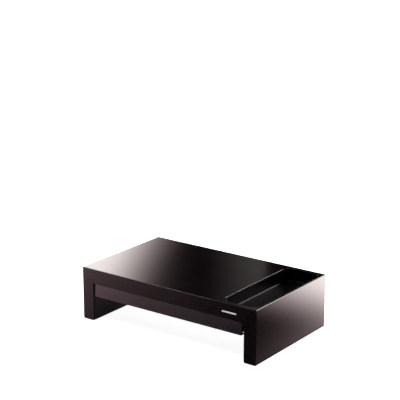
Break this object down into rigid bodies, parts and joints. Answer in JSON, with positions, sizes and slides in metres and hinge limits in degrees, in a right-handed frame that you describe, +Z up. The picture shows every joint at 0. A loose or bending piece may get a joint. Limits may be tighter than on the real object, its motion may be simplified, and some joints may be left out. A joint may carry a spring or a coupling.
{
  "type": "monitor riser",
  "caption": "Desktop monitor riser: a flat top on hollow height-adjustable legs, a slide-out paper drawer under its front apron and an open supply well at one end of the top.",
  "frame": {"origin": "on the desk, under the middle of the riser's footprint, at the lowest height setting with the drawer closed", "axes": "+X to the user's right along the riser's length, +Y to the back, +Z up; the drawer opens towards -Y"},
  "size_m": [0.4064, 0.2406, 0.1071],
  "materials": {
    "shell_gloss": "semi-gloss brown-black moulded plastic",
    "well_satin": "satin brown-black moulded plastic",
    "tray_matte": "fine-grained moulded plastic",
    "leg_matte": "fine-grained moulded plastic",
    "rail_nylon": "slick nylon",
    "rubber": "matt rubber",
    "screw_steel": "zinc-plated",
    "spring_steel": "plain spring steel",
    "bar_silver": "satin"
  },
  "bodies": {
    "left_leg": {"left_leg_extension": "leg_matte", "left_front_foot": "rubber", "left_back_foot": "rubber", "left_height_latch": "spring_steel"},
    "frame": {"outer_shell": "shell_gloss", "supply_well": "well_satin", "well_screw_front": "screw_steel", "well_screw_middle": "screw_steel", "well_screw_back": "screw_steel", "name_bar": "bar_silver", "left_inner_panel": "shell_gloss", "left_drawer_rail": "rail_nylon", "left_rail_screw_front": "screw_steel", "left_rail_screw_back": "screw_steel", "left_drawer_bumper": "rubber", "right_inner_panel": "shell_gloss", "right_drawer_rail": "rail_nylon", "right_rail_screw_front": "screw_steel", "right_rail_screw_back": "screw_steel", "right_drawer_bumper": "rubber"},
    "drawer": {"drawer_tray": "tray_matte", "drawer_front": "shell_gloss", "drawer_front_screw_1": "screw_steel", "drawer_front_screw_2": "screw_steel", "drawer_front_screw_3": "screw_steel", "drawer_front_screw_4": "screw_steel"},
    "right_leg": {"right_leg_extension": "leg_matte", "right_front_foot": "rubber", "right_back_foot": "rubber", "right_height_latch": "spring_steel"}
  },
  "joints": [
    {"name": "height_slide", "type": "slide", "parent": "left_leg", "child": "frame", "axis": [0, 0, 1], "range_m": [0, 0.04], "deforming": ["left_height_latch"]},
    {"name": "right_height_slide", "type": "slide", "parent": "frame", "child": "right_leg", "axis": [0, 0, -1], "range_m": [0, 0.04], "deforming": ["right_height_latch"]},
    {"name": "drawer_slide", "type": "slide", "parent": "frame", "child": "drawer", "axis": [0, -1, 0], "range_m": [0, 0.16]}
  ],
  "couplings": [
    {"joint": "right_height_slide", "follows": "height_slide", "ratio": 1}
  ]
}
